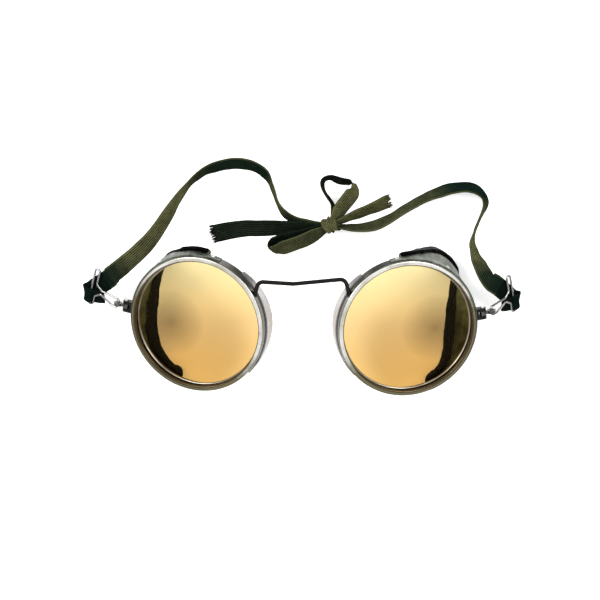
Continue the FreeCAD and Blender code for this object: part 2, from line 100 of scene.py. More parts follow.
def make_camera():
    """A long lens nearly straight above, a little to the right and rolled slightly."""
    data = bpy.data.cameras.new("camera")
    camera = bpy.data.objects.new("camera", data)
    bpy.context.scene.collection.objects.link(camera)
    ahead = Vector(CAMERA_AIM).normalized()
    right = ahead.cross(Vector((0, 1, 0))).normalized()
    up = right.cross(ahead)
    roll = math.radians(CAMERA_ROLL)
    level_right = right * math.cos(roll) + up * math.sin(roll)
    level_up = up * math.cos(roll) - right * math.sin(roll)
    spin = Matrix((level_right, level_up, -ahead)).transposed().to_4x4()
    camera.matrix_world = Matrix.Translation(Vector(CAMERA_SPOT) * MM) @ spin
    data.sensor_width = 36
    data.lens = 96
    data.shift_x, data.shift_y = LENS_SHIFT
    data.clip_start, data.clip_end = 0.01, 20
    bpy.context.scene.camera = camera


def softbox(name, spot, watts):
    """A round light that looks at the glasses."""
    data = bpy.data.lights.new(name, "AREA")
    data.shape = "DISK"
    data.size = 0.6
    data.energy = watts
    lamp = bpy.data.objects.new(name, data)
    bpy.context.scene.collection.objects.link(lamp)
    lamp.location = spot
    lamp.rotation_euler = (-Vector(spot)).to_track_quat("-Z", "Y").to_euler()


def make_world():
    """A studio tent: bright overhead, dim towards the horizon, so that metal edges read."""
    world = bpy.data.worlds.new("studio")
    bpy.context.scene.world = world
    world.use_nodes = True
    tree = world.node_tree
    back = tree.nodes["Background"]
    coords = tree.nodes.new("ShaderNodeTexCoord")
    split = tree.nodes.new("ShaderNodeSeparateXYZ")
    ramp = tree.nodes.new("ShaderNodeValToRGB")
    tree.links.new(coords.outputs["Generated"], split.inputs[0])
    tree.links.new(split.outputs["Z"], ramp.inputs["Fac"])
    tree.links.new(ramp.outputs["Color"], back.inputs["Color"])
    stops = ramp.color_ramp.elements
    stops[0].position, stops[0].color = 0.0, (0.10, 0.10, 0.095, 1)
    stops[1].position, stops[1].color = 1.0, (0.95, 0.95, 0.95, 1)
    middle = stops.new(0.30)
    middle.color = (0.16, 0.16, 0.15, 1)
    shoulder = stops.new(0.55)
    shoulder.color = (0.85, 0.85, 0.84, 1)
    back.inputs["Strength"].default_value = 1.25


def make_stage():
    """A white paper floor, two softboxes and the tent."""
    data = bpy.data.meshes.new("floor")
    reach = 3.0
    corners = [(-reach, -reach, 0), (reach, -reach, 0), (reach, reach, 0), (-reach, reach, 0)]
    data.from_pydata(corners, [], [(0, 1, 2, 3)])
    floor = bpy.data.objects.new("floor", data)
    bpy.context.scene.collection.objects.link(floor)
    floor.location.z = -0.05 * MM
    paper = bpy.data.materials.new("paper")
    paper.use_nodes = True
    bsdf = paper.node_tree.nodes["Principled BSDF"]
    bsdf.inputs["Base Color"].default_value = (0.93, 0.93, 0.925, 1)
    bsdf.inputs["Roughness"].default_value = 0.9
    bsdf.inputs["Emission Color"].default_value = (1, 1, 1, 1)
    bsdf.inputs["Emission Strength"].default_value = 0.5
    data.materials.append(paper)
    softbox("softbox_left", (-0.75, 0.30, 1.15), 10)
    softbox("softbox_right", (0.75, 0.30, 1.15), 9)
    make_world()
    view = bpy.context.scene.view_settings
    view.view_transform = "Standard"
    view.look = "None"
    view.exposure = 0.0


# ------------------------------------------------------------------ materials


class Shader:
    """A principled material with short helpers for wiring procedural detail."""

    def __init__(self, name, color, metallic=0.0, roughness=0.5):
        self.material = bpy.data.materials.new(name)
        self.material.use_nodes = True
        self.tree = self.material.node_tree
        self.bsdf = self.tree.nodes["Principled BSDF"]
        self.bsdf.inputs["Base Color"].default_value = (*color, 1)
        self.bsdf.inputs["Metallic"].default_value = metallic
        self.bsdf.inputs["Roughness"].default_value = roughness
        coords = self.tree.nodes.new("ShaderNodeTexCoord")
        self.place = coords.outputs["Object"]
        self.uv = coords.outputs["UV"]

    def put(self, socket, value):
        """Wires a socket to another one, or gives it a number or a colour."""
        if hasattr(value, "is_output"):
            self.tree.links.new(value, socket)
        elif hasattr(value, "__len__") and len(value) == 3 and len(socket.default_value) == 4:
            socket.default_value = (*value, 1)
        else:
            socket.default_value = value

    def math(self, kind, a, b=0.5, clamp=False):
        """One node of arithmetic; a and b are sockets or numbers."""
        made = self.tree.nodes.new("ShaderNodeMath")
        made.operation = kind
        made.use_clamp = clamp
        self.put(made.inputs[0], a)
        self.put(made.inputs[1], b)
        return made.outputs[0]

    def add(self, a, b, clamp=False):
        return self.math("ADD", a, b, clamp)

    def less(self, a, b):
        return self.math("SUBTRACT", a, b)

    def times(self, a, b, clamp=False):
        return self.math("MULTIPLY", a, b, clamp)

    def distance(self, place, x=0.0, y=0.0):
        """How far a place is from (x, y) in the plane of the lens."""
        across = self.math("POWER", self.less(place[0], x), 2.0)
        return self.math("SQRT", self.add(across, self.math("POWER", self.less(place[1], y), 2.0)))

    def noise(self, scale, detail=4.0, rough=0.55, stretch=None):
        at = self.place
        if stretch:
            mapping = self.tree.nodes.new("ShaderNodeMapping")
            mapping.inputs["Scale"].default_value = stretch
            self.put(mapping.inputs["Vector"], at)
            at = mapping.outputs[0]
        made = self.tree.nodes.new("ShaderNodeTexNoise")
        made.inputs["Scale"].default_value = scale
        made.inputs["Detail"].default_value = detail
        made.inputs["Roughness"].default_value = rough
        self.put(made.inputs["Vector"], at)
        return made.outputs[0]

    def ramp(self, value, *stops):
        """A colour ramp through (position, grey or colour) stops."""
        made = self.tree.nodes.new("ShaderNodeValToRGB")
        self.put(made.inputs[0], value)
        elements = made.color_ramp.elements
        while len(elements) < len(stops):
            elements.new(0.5)
        for element, (position, shade) in zip(elements, stops):
            element.position = position
            shade = (shade,) * 3 if isinstance(shade, (int, float)) else shade
            element.color = (*shade, 1)
        return made.outputs[0]

    def mix(self, share, a, b):
        """Colour a, turning into colour b as share goes from 0 to 1."""
        made = self.tree.nodes.new("ShaderNodeMix")
        made.data_type = "RGBA"
        self.put(made.inputs[0], share)
        self.put(made.inputs[6], a)
        self.put(made.inputs[7], b)
        return made.outputs[2]

    def bump(self, height, distance, strength=1.0):
        made = self.tree.nodes.new("ShaderNodeBump")
        made.inputs["Distance"].default_value = distance
        made.inputs["Strength"].default_value = strength
        self.put(made.inputs["Height"], height)
        self.put(self.bsdf.inputs["Normal"], made.outputs[0])

    def split(self, vector):
        made = self.tree.nodes.new("ShaderNodeSeparateXYZ")
        self.put(made.inputs[0], vector)
        return made.outputs

    def local(self, matrix):
        """The place seen from a frame given in millimetres, so that masks can follow a cup."""
        made = self.tree.nodes.new("ShaderNodeMapping")
        made.vector_type = "TEXTURE"
        made.inputs["Location"].default_value = matrix.translation * MM
        made.inputs["Rotation"].default_value = matrix.to_euler("XYZ")
        self.put(made.inputs["Vector"], self.place)
        return made.outputs[0]

    def set(self, **values):
        for name, value in values.items():
            self.put(self.bsdf.inputs[name.replace("_", " ")], value)
        return self


def worn_metal(name, color, dull, roughness, spread=0.12):
    """Plated metal with cloudy tarnish, pits and fine scratches."""
    s = Shader(name, color, 1.0, roughness)
    clouds = s.noise(90, 5, 0.6)
    pits = s.noise(1600, 3, 0.7)
    tint = s.mix(s.ramp(clouds, (0.42, 0.0), (0.68, 1.0)), color, dull)
    specks = s.ramp(pits, (0.62, 0.0), (0.72, 1.0))
    s.set(Base_Color=s.mix(s.times(specks, 0.5), tint, tuple(c * 0.35 for c in dull)))
    lines = s.noise(700, 2, 0.5, stretch=(0.12, 1.0, 1.0))
    wear = s.add(s.times(clouds, spread), roughness - spread / 2)
    s.set(Roughness=s.add(wear, s.times(lines, 0.08)))
    s.bump(s.add(s.times(pits, 0.5), lines), 0.02 * MM, 0.6)
    return s


def rim_metal(name, side):
    """Nickel: silver towards the brow, olive-tan towards the temple and cheek as a painted warm
    reflection, with painted shade on the outer wall, along the lip's edges and in the groove.
    """
    s = worn_metal(name, (0.78, 0.77, 0.72), (0.42, 0.40, 0.33), 0.24)
    place = s.split(s.local(cup_matrix(side)))
    out = s.distance(place)
    tan_color = (0.17, 0.15, 0.088)
    # Olive-tan painted reflection of the warm surroundings on the temple side and towards the cheek.
    wear_and_painted_light = s.add(s.times(place[0], side * 18.0), s.times(place[1], -26.0))
    tan = s.ramp(s.add(wear_and_painted_light, s.times(s.noise(120, 3), 0.9)), (0.30, 0.0), (0.72, 1.0))
    plate = s.bsdf.inputs["Base Color"].links[0].from_socket
    tarnish_and_painted_light = s.mix(tan, plate, tan_color)
    # Painted shade: the outer wall is darker than the lip.
    deep = s.times(s.add(place[2], 0.5 * MM), -1400.0, clamp=True)
    outer = s.times(s.less(out, (RIM_RADIUS - 0.6) * MM), 3000.0, clamp=True)
    wall = s.times(s.times(deep, outer), 0.72)
    tarnish_and_painted_light = s.mix(wall, tarnish_and_painted_light, s.mix(tan, (0.30, 0.30, 0.27), (0.17, 0.155, 0.085)))
    # Painted shade along the lip's two corners, wider on the temple side and towards the cheek.
    lean = s.add(s.times(place[0], side * 34.0), s.times(place[1], -18.0))
    lean = s.add(s.add(lean, 0.40), s.times(s.noise(160, 3), 0.3), clamp=True)
    corner = s.less(s.add(out, s.times(lean, 0.24 * MM)), (RIM_RADIUS - 0.3) * MM)
    corner = s.times(corner, 5000.0, clamp=True)
    tarnish_and_painted_light = s.mix(s.times(corner, 0.85), tarnish_and_painted_light, (0.03, 0.03, 0.025))
    # Painted shade on the lip's inner edge, where the rim's inner wall lies in shadow, wider on the
    # temple side and towards the cheek.
    inner = s.less(LIP_RADIUS * MM, s.less(out, s.times(lean, 0.50 * MM)))
    tarnish_and_painted_light = s.mix(s.times(s.times(inner, 5000.0, clamp=True), 0.9), tarnish_and_painted_light, (0.05, 0.036, 0.02))
    # Painted shade in the groove behind the lip.
    sunk = s.math("LESS_THAN", place[2], -0.9 * MM)
    groove = s.times(s.math("LESS_THAN", out, GROOVE_RADIUS * MM), sunk)
    s.set(Base_Color=s.mix(groove, tarnish_and_painted_light, (0.035, 0.025, 0.018)))
    return s.material


def shield_metal(side):
    """Thin dull sheet: grey at the brow, olive towards the cheek as a painted warm reflection, streaked
    along its depth.
    """
    s = Shader("shield_sheet_%d" % side, (0.3, 0.3, 0.25), 0.85, 0.42)
    place = s.split(s.local(cup_matrix(side)))
    brow = s.ramp(s.add(s.times(place[1], 14.0), 0.5), (0.68, 0.0), (0.84, 1.0))
    streaks = s.noise(260, 4, 0.6, stretch=(1.0, 1.0, 0.08))
    # The olive is a painted reflection of the warm surroundings, darker on the left cup.
    painted_olive_reflection = (0.074, 0.096, 0.058) if side < 0 else (0.100, 0.128, 0.080)
    base = s.mix(brow, painted_olive_reflection, (0.20, 0.225, 0.185))
    s.set(Base_Color=s.mix(s.ramp(streaks, (0.4, 0.0), (0.62, 0.75)), base, (0.022, 0.024, 0.013)))
    s.set(Roughness=s.add(s.times(streaks, 0.25), 0.3))
    s.bump(streaks, 0.06 * MM, 0.5)
    return s.material


def amber_lens(side):
    """Amber filter glass: pale at the brow, deeper to the cheek, with a painted shadow by the temple-side
    shield and a thin surface shine.

    Light crosses four surfaces on its way through and back, so each one takes a weak tint.
    """
    s = Shader("amber_lens_%d" % side, (0.9, 0.78, 0.5), 1.0, 0.2)
    tree = s.tree
    place = s.split(s.local(cup_matrix(side)))
    height = s.add(s.times(place[1], 20.0), 0.5)
    smear = s.add(height, s.times(s.less(s.noise(60, 2), 0.5), 0.10))
    cheek, middle, brow = (0.750, 0.606, 0.352), (0.80, 0.688, 0.485), (0.905, 0.845, 0.620)
    color = s.ramp(smear, (0.0, cheek), (0.5, middle), (1.0, brow))
    # A painted shadow: a soft dark blob by the temple-side shield, where the shield shades the table
    # under the lens.
    shadow_blob_distance = s.distance(place, side * 11.5 * MM, -0.5 * MM)
    painted_shadow = s.math("SUBTRACT", 1.0, s.times(shadow_blob_distance, 75.0), clamp=True)
    color = s.mix(s.times(painted_shadow, 0.33), color, (0.0, 0.0, 0.0))
    clear = tree.nodes.new("ShaderNodeBsdfTransparent")
    s.put(clear.inputs["Color"], color)
    s.bump(s.noise(900, 2), 0.004 * MM, 0.4)
    both = tree.nodes.new("ShaderNodeMixShader")
    both.inputs[0].default_value = 0.006
    tree.links.new(clear.outputs[0], both.inputs[1])
    tree.links.new(s.bsdf.outputs[0], both.inputs[2])
    tree.links.new(both.outputs[0], tree.nodes["Material Output"].inputs["Surface"])
    return s.material


def leather(name):
    """Black leather with a fine grain, browned where it is rubbed."""
    s = Shader(name, (0.012, 0.011, 0.011))
    grain = s.tree.nodes.new("ShaderNodeTexVoronoi")
    grain.feature = "DISTANCE_TO_EDGE"
    grain.inputs["Scale"].default_value = 1500
    s.put(grain.inputs["Vector"], s.place)
    creases = s.noise(220, 5, 0.65)
    wear_and_painted_light = s.ramp(s.noise(140, 4, 0.6), (0.55, 0.0), (0.8, 1.0))
    s.set(Base_Color=s.mix(s.times(wear_and_painted_light, 0.6), (0.0016, 0.0015, 0.0018), (0.012, 0.010, 0.008)))
    s.set(Roughness=s.add(s.times(creases, 0.3), 0.4), Specular_IOR_Level=0.02)
    cells = s.math("MINIMUM", grain.outputs["Distance"], 0.12)
    s.bump(s.add(cells, s.times(creases, 0.6)), 0.1 * MM, 0.8)
    return s.material


def tape_cloth(name, light, dark, gap, dye_and_shade_green=(0.008, 0.019, 0.013)):
    """Ribbed cotton tape. UV runs across the tape (0 to 1) and along it in widths; a point attribute
    turns it dark green, partly for dye and partly as painted shade.
    """
    s = Shader(name, light, 0.0, 0.85)
    across, along, _ = s.split(s.uv)
    cycle = 2 * math.pi
    ribs, picks, slant = 9, 11, 6.5
    rib = s.math("SINE", s.times(across, cycle * ribs))
    pick = s.math("SINE", s.add(s.times(along, cycle * picks), s.times(across, cycle * slant)))
    weave = s.add(s.times(rib, 0.75), s.times(pick, 0.35))
    fuzz = s.noise(2600, 3, 0.7)
    slub = s.noise(240, 4, 0.6)
    level = s.add(s.times(weave, 0.22), s.add(s.times(fuzz, 0.6), s.times(slub, 0.35)))
    body = s.ramp(level, (0.25, gap), (0.52, dark), (0.80, light))
    border = s.ramp(s.math("ABSOLUTE", s.less(across, 0.5)), (0.40, 0.0), (0.47, 0.75))
    # The point attribute darkens the cloth to dark green: partly dye, partly painted shade where the tape
    # tilts away from the light.
    tone = s.tree.nodes.new("ShaderNodeAttribute")
    tone.attribute_name = "tone"
    dye_and_shade_cloth = s.mix(s.ramp(level, (0.3, 0.0), (0.7, 1.0)), tuple(c * 0.25 for c in dye_and_shade_green), dye_and_shade_green)
    body = s.mix(tone.outputs["Fac"], body, dye_and_shade_cloth)
    s.set(Base_Color=s.mix(border, body, dark))
    s.set(Specular_IOR_Level=0.0)
    s.bump(s.add(weave, s.times(fuzz, 0.8)), 0.09 * MM, 0.9)
    return s.material


def black_wire():
    """Black enamel with small chips down to the grey metal."""
    s = Shader("black_wire", (0.012, 0.011, 0.011))
    chips = s.ramp(s.noise(420, 5, 0.7), (0.62, 0.0), (0.70, 1.0))
    s.set(Base_Color=s.mix(s.times(chips, 0.5), (0.006, 0.005, 0.005), (0.10, 0.095, 0.09)))
    s.set(Roughness=s.add(s.times(s.noise(300), 0.25), 0.22), Specular_IOR_Level=0.1)
    s.bump(s.noise(900, 3), 0.03 * MM, 0.6)
    return s.material


# ------------------------------------------------------------------ mesh helpers


def mesh_piece(name, points, faces, materials, uvs=None, index=None):
    """A mesh from points in millimetres. uvs holds one pair for each point of each face."""
    data = bpy.data.meshes.new(name)
    data.from_pydata([Vector(p) * MM for p in points], [], faces)
    for material in materials:
        data.materials.append(material)
    if index:
        data.polygons.foreach_set("material_index", index)
    data.polygons.foreach_set("use_smooth", [True] * len(faces))
    if uvs:
        layer = data.uv_layers.new(name="UVMap")
        layer.data.foreach_set("uv", [value for pair in uvs for value in pair])
    data.update()
    piece = bpy.data.objects.new(name, data)
    bpy.context.scene.collection.objects.link(piece)
    return piece


def above(point, height):
    """The point, lifted to a least height over the table."""
    return Vector((point.x, point.y, max(point.z, height)))


def smooth_step(t):
    return t * t * (3 - 2 * t)


def spline_line(points, steps=20):
    """Points along a route's smooth curve, the route's own points being its control points."""
    data = bpy.data.curves.new("route", "CURVE")
    data.dimensions = "3D"
    spline = data.splines.new("NURBS")
    spline.points.add(len(points) - 1)
    for place, point in zip(spline.points, points):
        place.co = (*point, 1)
    spline.order_u = 3
    spline.use_endpoint_u = True
    data.resolution_u = steps
    holder = bpy.data.objects.new("route", data)
    bpy.context.scene.collection.objects.link(holder)
    line = bpy.data.meshes.new_from_object(holder)
    found = [v.co.copy() for v in line.vertices]
    bpy.data.objects.remove(holder)
    bpy.data.curves.remove(data)
    bpy.data.meshes.remove(line)
    return found


def lengths(line):
    """The length of the line up to each of its points."""
    total = [0.0]
    for a, b in zip(line, line[1:]):
        total.append(total[-1] + (b - a).length)
    return total


def keyed(keys, share):
    """A value read between (share, value, ...) keys with a smooth step."""
    if share <= keys[0][0]:
        return list(keys[0][1:])
    for before, after in zip(keys, keys[1:]):
        if share <= after[0]:
            t = smooth_step((share - before[0]) / (after[0] - before[0]))
            return [a + (b - a) * t for a, b in zip(before[1:], after[1:])]
    return list(keys[-1][1:])


def tangents(line):
    found = []
    for i in range(len(line)):
        a, b = line[max(i - 1, 0)], line[min(i + 1, len(line) - 1)]
        found.append((b - a).normalized())
    return found


TAPE_WIDTH, TAPE_THICK = 7.5, 0.62
TAPE_STEPS = 10
TAPE_CLEAR, THREAD_CLEAR, LEATHER_CLEAR = 0.1, 0.05, 0.02  # least heights over the table


class Section:
    """One cut across the tape: its middle, its width's direction, how wide it is, how far along it
    lies (run) and how far it is turned dark green, partly by dye and partly by painted shade."""

    def __init__(self, middle, tangent, across, width, run, tone=0.0):
        self.middle = middle
        self.across = (across - tangent * across.dot(tangent)).normalized()
        self.face = tangent.cross(self.across)
        self.width = width
        self.run = run
        self.tone = tone


def rolled_sections(line, keys, dye_and_shade_levels=((0, 0.0), (1, 0.0))):
    """Sections along a free line. keys are (share of length, roll, width): roll 0 is flat, 90 on edge."""
    total = lengths(line)
    sections = []
    for point, tangent, run in zip(line, tangents(line), total):
        roll, width = keyed(keys, run / total[-1])
        level = Vector((0, 0, 1)).cross(tangent).normalized()
        upright = tangent.cross(level)
        a = math.radians(roll)
        across = level * math.cos(a) + upright * math.sin(a)
        tone = keyed(dye_and_shade_levels, run / total[-1])[0]
        sections.append(Section(point, tangent, across, width, run, tone))
    return sections


def tape_piece(name, sections, cloth, thick=TAPE_THICK, crown=0.25, seed=0.0, ends=(True, True)):
    """A woven tape through its sections, face side and back side in their own cloth.

    crown is how much its middle bulges, seed picks its ripples, and ends says which ends are closed.
    """
    points, faces, uvs, index = [], [], [], []
    ring = 2 * (TAPE_STEPS + 1)
    dye_and_shade_levels = [s.tone for s in sections for _ in range(ring)]
    for s in sections:
        for layer in (1, -1):
            for i in range(TAPE_STEPS + 1):
                u = i / TAPE_STEPS if layer > 0 else 1 - i / TAPE_STEPS
                side = 2 * u - 1
                edge = math.sqrt(max(0.0, 1 - side ** 6))
                ripple = 0.16 * noise.noise(Vector((s.run * 0.25 + seed, side * 0.7, seed)))
                lift = crown * (1 - side * side) + ripple + layer * thick / 2 * max(edge, 0.25)
                spot = s.middle + s.across * (side * s.width / 2) + s.face * (lift - crown / 2)
                points.append(above(spot, TAPE_CLEAR))
    for j in range(len(sections) - 1):
        v0, v1 = sections[j].run / TAPE_WIDTH, sections[j + 1].run / TAPE_WIDTH
        for i in range(ring):
            k = (i + 1) % ring
            faces.append((j * ring + i, j * ring + k, (j + 1) * ring + k, (j + 1) * ring + i))
            index.append(0 if i < TAPE_STEPS else 1)
            place = i if i <= TAPE_STEPS else ring - 1 - i
            after = k if k <= TAPE_STEPS else ring - 1 - k
            a, b = place / TAPE_STEPS, after / TAPE_STEPS
            uvs += [(a, v0), (b, v0), (b, v1), (a, v1)]
    last = (len(sections) - 1) * ring
    for start, flip, closed in ((0, True, ends[0]), (last, False, ends[1])):
        if not closed:
            continue
        cap = tuple(range(start, start + ring))
        faces.append(tuple(reversed(cap)) if flip else cap)
        index.append(1)
        uvs += [(0.5, 0.0)] * ring
    piece = mesh_piece(name, points, faces, cloth, uvs, index)
    piece.data.attributes.new("tone", "FLOAT", "POINT").data.foreach_set("value", dye_and_shade_levels)
    return piece


def fibres(name, sections, cloth, count, reach, seed):
    """Cut threads that stick out of a tape's end."""
    random.seed(seed)
    section = sections[-1]
    ahead = (section.middle - sections[-3].middle).normalized()
    points, faces = [], []
    for _ in range(count):
        side = random.uniform(-1, 1)
        edge = section.middle + section.across * (side * section.width / 2)
        root = edge + section.face * random.uniform(-0.2, 0.2)
        sway = section.across * random.gauss(side * 0.15, 0.22) + section.face * random.gauss(0, 0.18)
        aim = ahead + sway
        tip = root + aim.normalized() * random.uniform(0.35, 1.0) * reach
        bend = root.lerp(tip, 0.55) + section.across * random.gauss(0, 0.12)
        thin = random.uniform(0.10, 0.19)
        first = len(points)
        for spot, size in ((root - ahead * 0.4, thin), (bend, thin * 0.8), (tip, thin * 0.3)):
            for k in range(3):
                a = k * 2 * math.pi / 3
                round_it = section.across * math.cos(a) * size + section.face * math.sin(a) * size
                points.append(above(spot + round_it, THREAD_CLEAR))
        for row in (0, 3):
            for k in range(3):
                m = (k + 1) % 3
                faces.append((first + row + k, first + row + m, first + row + 3 + m, first + row + 3 + k))
        faces.append((first + 6, first + 7, first + 8))
    piece = mesh_piece(name, points, faces, [cloth])
    return piece


# ------------------------------------------------------------------ the tape

# The free runs, from each wire loop to the knot; control points of a smooth curve.
ROUTES = {
    "left": [
        (-70.8, 16, 16.6), (-65.8, 20.6, 13.2), (-58.4, 28.8, 8.6), (-52.8, 38.4, 5.8),
        (-47.2, 48.4, 4.7), (-40.2, 55.8, 4.1), (-31.4, 59.2, 3.9), (-22.4, 59.6, 3.9),
        (-15.4, 56.4, 4.0), (-12.2, 50.2, 4.3), (-10.4, 44, 4.3), (-6.2, 38.6, 4.1),
        (0.6, 36.2, 3.9), (8.4, 36.0, 3.7),
    ],
    "right": [
        (69.8, 17.8, 13), (66.6, 24.4, 9.2), (64.8, 31.6, 6.4), (67.6, 39.4, 4.8),
        (71, 46.6, 4.2), (66, 51.8, 3.9), (57.8, 51.8, 3.8), (48.4, 48.4, 3.8),
        (40.4, 44, 3.8), (31.4, 37.8, 3.6), (22.6, 35, 3.4), (12.8, 35.8, 3.6),
    ],
}

# How each run is rolled about its route: share of its length, roll in degrees, width.
RUN_KEYS = {
    "left": [(0, 30, 7.5), (0.10, 39, 7.5), (0.26, 57, 7.5), (0.35, 73, 7.5), (0.41, 81, 7.5),
             (0.46, 76, 7.5), (0.52, 64, 7.5), (0.60, 60, 7.5), (0.69, 64, 7.5), (0.745, 77, 7.5),
             (0.80, 80, 7.5), (0.86, 70, 7.4), (0.92, 64, 7.2), (1, 62, 4.4)],
    "right": [(0, 36, 7.5), (0.06, 44, 7.5), (0.12, 63, 7.5), (0.19, 82, 7.5), (0.26, 83, 7.5),
              (0.34, 68, 7.5), (0.42, 52, 7.5), (0.52, 50, 7.5), (0.64, 58, 7.5), (0.74, 60, 7.5),
              (0.84, 54, 7.5), (0.93, 60, 6.8), (1, 64, 4.4)],
}

# The fold on each wire loop, in the loop's frame with y to the brow: x, y, z, then the
# direction across the tape (x, y) and its width. It starts at the cut end of the sewn flap.
FOLD = [
    (6.4, -0.2, -0.95, 0.2, 0.98, 4.6), (8.4, -0.9, -0.9, 0.2, 0.98, 4.8),
    (10.4, -1.2, -0.85, 0.2, 0.98, 5.0), (11.15, -1.2, -0.1, 0.2, 0.98, 5.2),
    (11.3, -1.1, 0.8, 0.25, 0.97, 5.4), (12.6, -0.9, 1.0, 0.3, 0.95, 5.6),
    (13.9, -0.6, 0.8, 0.35, 0.93, 5.8), (14.7, -0.4, 0.2, 0.4, 0.92, 5.8),
    (14.9, -0.4, -0.7, 0.4, 0.92, 5.8), (14.0, -0.2, -1.5, 0.45, 0.89, 6.2),
    (12.4, 0.8, -1.65, 0.58, 0.81, 6.8), (10.0, 3.4, -1.6, 0.74, 0.67, 7.4),
    (7.4, 6.6, -1.45, 0.79, 0.61, 7.5),
]

# How dark green each run is, partly dye and partly painted shade where the tape tilts away from the
# light: share of its length, then 0 for olive and 1 for dark green.
RUN_DYE_AND_SHADE = {
    "left": [(0, 0.9), (0.03, 0.6), (0.07, 0.1), (0.36, 0.05), (0.45, 0.8), (0.52, 0.97), (0.70, 0.97),
             (0.76, 0.25), (0.82, 0.2), (0.87, 0.85), (1, 0.85)],
    "right": [(0, 0.9), (0.04, 0.6), (0.09, 0.1), (0.28, 0.3), (0.36, 1.0), (0.48, 1.0),
              (0.6, 0.6), (0.72, 0.4), (0.85, 0.45), (1, 0.7)],
}

# The share of each run that belongs to the neck.
NECK_SHARE = {"left": 0.045, "right": 0.05}


def fold_sections(name):
    """The sewn end of the tape, folded round the bar of its wire loop."""
    side, place = SIDES[name], loop_matrix(name)
    spin = place.to_3x3()
    line = [place @ p for p in spline_line([(x, side * y, z) for x, y, z, _, _, _ in FOLD], 8)]
    total = lengths(line)
    keys = [(i / (len(FOLD) - 1), *row[3:]) for i, row in enumerate(FOLD)]
    sections = []
    for i, (point, tangent, run) in enumerate(zip(line, tangents(line), total)):
        x, y, width = keyed(keys, i / (len(line) - 1))
        across = spin @ Vector((-side * x, -y, 0))
        sections.append(Section(point, tangent, across, width, run, 1.0))
    return sections


def neck_sections(before, after):
    """The tape between the fold and the free run, turning smoothly from one to the other."""
    gap = (after.middle - before.middle).length
    leaving = before.middle + before.across.cross(before.face) * gap * 0.35
    meeting = after.middle - after.across.cross(after.face) * gap * 0.35
    route = [before.middle, leaving, meeting, after.middle]
    line = spline_line(route, 10)
    total = lengths(line)
    sections = []
    for point, tangent, run in zip(line, tangents(line), total):
        t = smooth_step(run / total[-1])
        across = before.across.lerp(after.across, t)
        width = before.width + (after.width - before.width) * t
        tone = 1.0 + (after.tone - 1.0) * t
        sections.append(Section(point, tangent, across, width, run, tone))
    return sections


def restart(sections, run):
    """Counts the sections' run from a new start, so that the weave goes on from piece to piece."""
    first = sections[0].run
    for s in sections:
        s.run += run - first
    return sections


def head_tape(name, cloth):
    """One side's tape: fold on the loop, neck across the swivel, and the free run to the knot.

    Gives the three pieces by name and the three lists of sections that they follow.
    """
    face, back = cloth
    run = rolled_sections(spline_line(ROUTES[name]), RUN_KEYS[name], RUN_DYE_AND_SHADE[name])
    cut = int(len(run) * NECK_SHARE[name])
    fold = fold_sections(name)
    neck = restart(neck_sections(fold[-1], run[0]), fold[-1].run)
    restart(run, neck[-1].run)
    neck = neck[:-1] + run[: cut + 1]
    free = run[cut:]
    pieces = {
        "fold": tape_piece("tape_sewn_fold_" + name, fold, [back, back], 0.5, 0.05, 3.0),
        "neck": tape_piece("tape_neck_" + name, neck, [face, back], seed=1.0, ends=(True, False)),
        "run": tape_piece("tape_free_" + name, free, [face, back], seed=1.0, ends=(False, True)),
    }
    return pieces, fold, neck, free


# The tails and the bow's loops, from the knot: control points, then keys like a run's.
TAIL_LEFT = [
    (8.6, 35.2, 3.4), (-4.4, 35.4, 2.6), (-15.8, 34.6, 2.4), (-25.0, 34.6, 2.2), (-34.6, 32.3, 2.0),
]
TAIL_LEFT_KEYS = [(0, 118, 4.6), (0.25, 128, 7.2), (0.6, 142, 7.5), (1, 152, 7.5)]
TAIL_RIGHT = [(12.4, 36.9, 4.2), (19.6, 40.0, 5.0), (26.2, 42.6, 5.4), (32.4, 45.6, 5.0)]
TAIL_RIGHT_KEYS = [(0, 66, 4.4), (0.2, 66, 6.0), (0.5, 62, 7.2), (1, 54, 7.8)]
LOOP_RIGHT = [
    (10.9, 37.2, 4.6), (14.2, 42.6, 5.0), (17.6, 46.6, 5.2), (20.2, 50.4, 5.6), (18.0, 53.0, 5.8),
    (13.6, 53.2, 5.8), (10.0, 54.8, 5.6), (6.9, 53.4, 5.2), (7.2, 49.8, 4.7), (9.8, 46.2, 4.2),
    (11.8, 43.2, 4.0), (11.0, 37.4, 4.0),
]
LOOP_RIGHT_KEYS = [
    (0, 58, 4.2), (0.12, 46, 7.2), (0.28, 46, 7.5), (0.36, 72, 7.5), (0.41, 104, 7.5),
    (0.5, 107, 7.5), (0.6, 99, 7.5), (0.75, 99, 7.5), (0.9, 103, 6.6), (1, 100, 4.2),
]
LOOP_LEFT = [
    (9.6, 35.3, 4.0), (3.2, 31.2, 4.2), (-3.0, 28.6, 4.3), (-8.4, 26.7, 4.2), (-12.6, 26.0, 4.1),
    (-13.6, 28.4, 3.9), (-9.8, 30.2, 3.7), (-3.2, 31.2, 3.5), (3.0, 32.8, 3.5), (9.4, 35.9, 3.8),
]
LOOP_LEFT_KEYS = [
    (0, -54, 4.2), (0.15, -47, 7.0), (0.38, -50, 7.5), (0.44, -66, 7.5), (0.5, -92, 7.5),
    (0.57, -116, 7.5), (0.68, -130, 7.5), (0.85, -130, 7.0), (1, -124, 4.2),
]
# Dark green along the closed loop: partly dye, partly painted shade.
LOOP_LEFT_DYE_AND_SHADE = [(0, 0.7), (0.4, 0.45), (0.5, 0.45), (0.8, 0.6), (1, 0.8)]
KNOT_SPOT = Vector((10.7, 36.3, 3.9))


